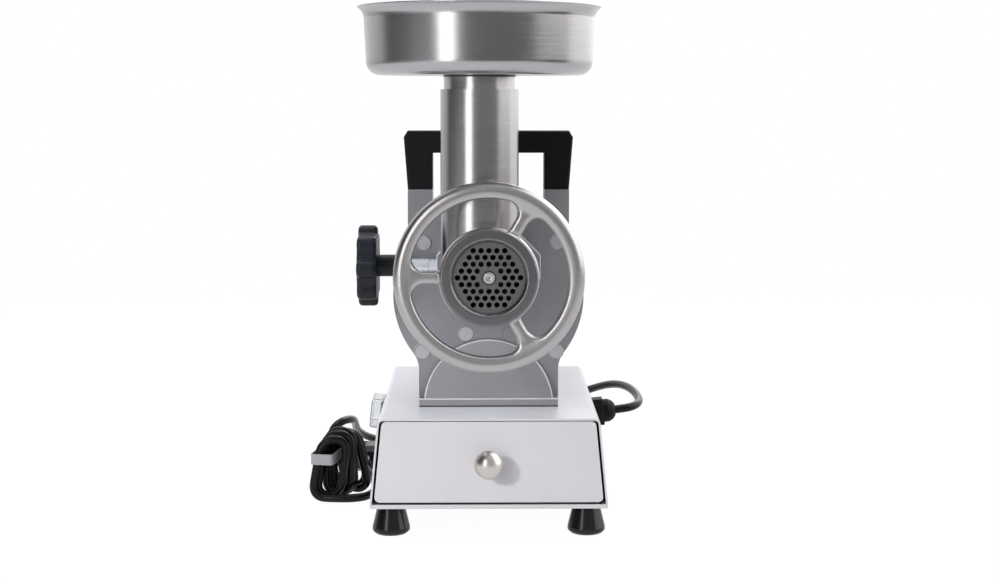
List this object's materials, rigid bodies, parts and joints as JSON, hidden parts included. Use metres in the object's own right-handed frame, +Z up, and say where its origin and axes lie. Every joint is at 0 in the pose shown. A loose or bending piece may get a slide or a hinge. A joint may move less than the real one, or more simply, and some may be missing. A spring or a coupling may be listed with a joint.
{
  "type": "electric meat grinder",
  "caption": "Tabletop electric meat grinder: motor and gear case on a sheet base with a drawer, removable grinding head with a wheel nut, feed tube and round pan.",
  "frame": {"origin": "on the table, under the middle of the machine's outline without its cord", "axes": "+X to the right seen from the front, +Y to the back where the motor is, +Z up"},
  "size_m": [0.2886, 0.3757, 0.4113],
  "materials": {
    "satin_steel": "satin sheet steel",
    "zinc_sheet": "zinc plated sheet",
    "foot_rubber": "black rubber",
    "zinc_screw": "zinc plated steel",
    "cast_aluminium": "as cast, satin",
    "motor_paint": "satin",
    "motor_iron": "laminated steel",
    "copper": "enamelled copper",
    "bright_steel": "ground steel",
    "bronze": "sintered bronze",
    "brushed_steel": "brushed",
    "plate_steel": "matt",
    "auger_metal": "as cast",
    "polished_nickel": "polished",
    "black_plastic": "matt moulded plastic",
    "white_plastic": "moulded plastic",
    "clear_cover": "clear soft plastic",
    "cord_black": "black cord sheath",
    "tie_grey": "grey strap",
    "blade_brass": "plated"
  },
  "bodies": {
    "housing": {"base_shell": "satin_steel", "base_bottom_plate": "zinc_sheet", "drawer_rails": "zinc_sheet", "base_partition": "zinc_sheet", "foot_front_left": "foot_rubber", "foot_front_right": "foot_rubber", "foot_back_left": "foot_rubber", "foot_back_right": "foot_rubber", "foot_screws": "zinc_screw", "gasket": "foot_rubber", "gear_case": "cast_aluminium", "pedestal_bolts": "zinc_screw", "gear_case_rear": "cast_aluminium", "case_screws": "zinc_screw", "motor_housing": "motor_paint", "stator": "motor_iron", "windings": "copper", "motor_bearings": "bright_steel", "rear_cover": "black_plastic", "cover_screws": "zinc_screw", "output_bearing": "bright_steel", "shaft_bushes": "bronze", "shaft_seal": "foot_rubber", "handle": "black_plastic", "handle_studs": "zinc_screw", "switch_body": "black_plastic", "switch_cover": "clear_cover", "gland_body": "black_plastic", "gland_nut": "black_plastic", "run_capacitor": "white_plastic", "cord_lead": "cord_black", "cord_hank": "cord_black", "cord_tie": "tie_grey", "plug_body": "cord_black", "plug_blades": "blade_brass"},
    "drawer": {"drawer_front": "satin_steel", "drawer_tray": "satin_steel", "drawer_knob": "polished_nickel", "drawer_knob_screw": "zinc_screw"},
    "head": {"head_barrel": "brushed_steel", "feed_tube": "brushed_steel", "plate_key": "plate_steel", "grinding_plate": "plate_steel"},
    "ring": {"ring_nut": "brushed_steel"},
    "pan": {"feed_pan": "brushed_steel", "pan_spigot": "brushed_steel"},
    "auger_set": {"auger": "auger_metal", "auger_stud": "plate_steel", "thrust_washer": "white_plastic", "knife": "bright_steel"},
    "clamp": {"clamp_screw": "zinc_screw", "clamp_knob": "black_plastic"},
    "motor_rotor": {"rotor": "motor_iron", "motor_shaft": "bright_steel", "cooling_fan": "white_plastic"},
    "idler": {"idler_gear": "bright_steel", "idler_shaft": "bright_steel"},
    "output": {"output_gear": "bright_steel", "output_shaft": "bright_steel"},
    "rocker": {"switch_rocker": "black_plastic"}
  },
  "joints": [
    {"name": "drawer_slide", "type": "slide", "parent": "housing", "child": "drawer", "axis": [0, -1, 0], "range_m": [0, 0.1]},
    {"name": "head_pull", "type": "slide", "parent": "housing", "child": "head", "axis": [0, -1, 0], "range_m": [0, 0.06]},
    {"name": "ring_nut_turn", "type": "hinge", "parent": "head", "child": "ring", "pos_m": [0, -0.111, 0.2085], "axis": [0, -1, 0], "range_deg": [0, 330]},
    {"name": "pan_lift", "type": "slide", "parent": "head", "child": "pan", "axis": [0, 0, 1], "range_m": [0, 0.06]},
    {"name": "auger_spin", "type": "hinge", "parent": "head", "child": "auger_set", "pos_m": [0, -0.06, 0.2085], "axis": [0, 1, 0], "continuous": true},
    {"name": "clamp_turn", "type": "hinge", "parent": "housing", "child": "clamp", "pos_m": [-0.08, -0.03, 0.2085], "axis": [1, 0, 0], "range_deg": [0, 330]},
    {"name": "rotor_spin", "type": "hinge", "parent": "housing", "child": "motor_rotor", "pos_m": [0, 0.075, 0.1825], "axis": [0, 1, 0], "continuous": true},
    {"name": "idler_spin", "type": "hinge", "parent": "housing", "child": "idler", "pos_m": [0.03249, 0.01, 0.18189], "axis": [0, 1, 0], "continuous": true},
    {"name": "output_spin", "type": "hinge", "parent": "housing", "child": "output", "pos_m": [0, 0, 0.2085], "axis": [0, 1, 0], "continuous": true},
    {"name": "switch_rock", "type": "hinge", "parent": "housing", "child": "rocker", "pos_m": [-0.08668, 0.03, 0.0789], "axis": [0.0967, 0, 0.9953], "range_deg": [-16, 0]}
  ],
  "couplings": [
    {"joint": "idler_spin", "follows": "rotor_spin", "ratio": -0.3},
    {"joint": "output_spin", "follows": "rotor_spin", "ratio": 0.081818},
    {"joint": "auger_spin", "follows": "rotor_spin", "ratio": 0.081818}
  ]
}
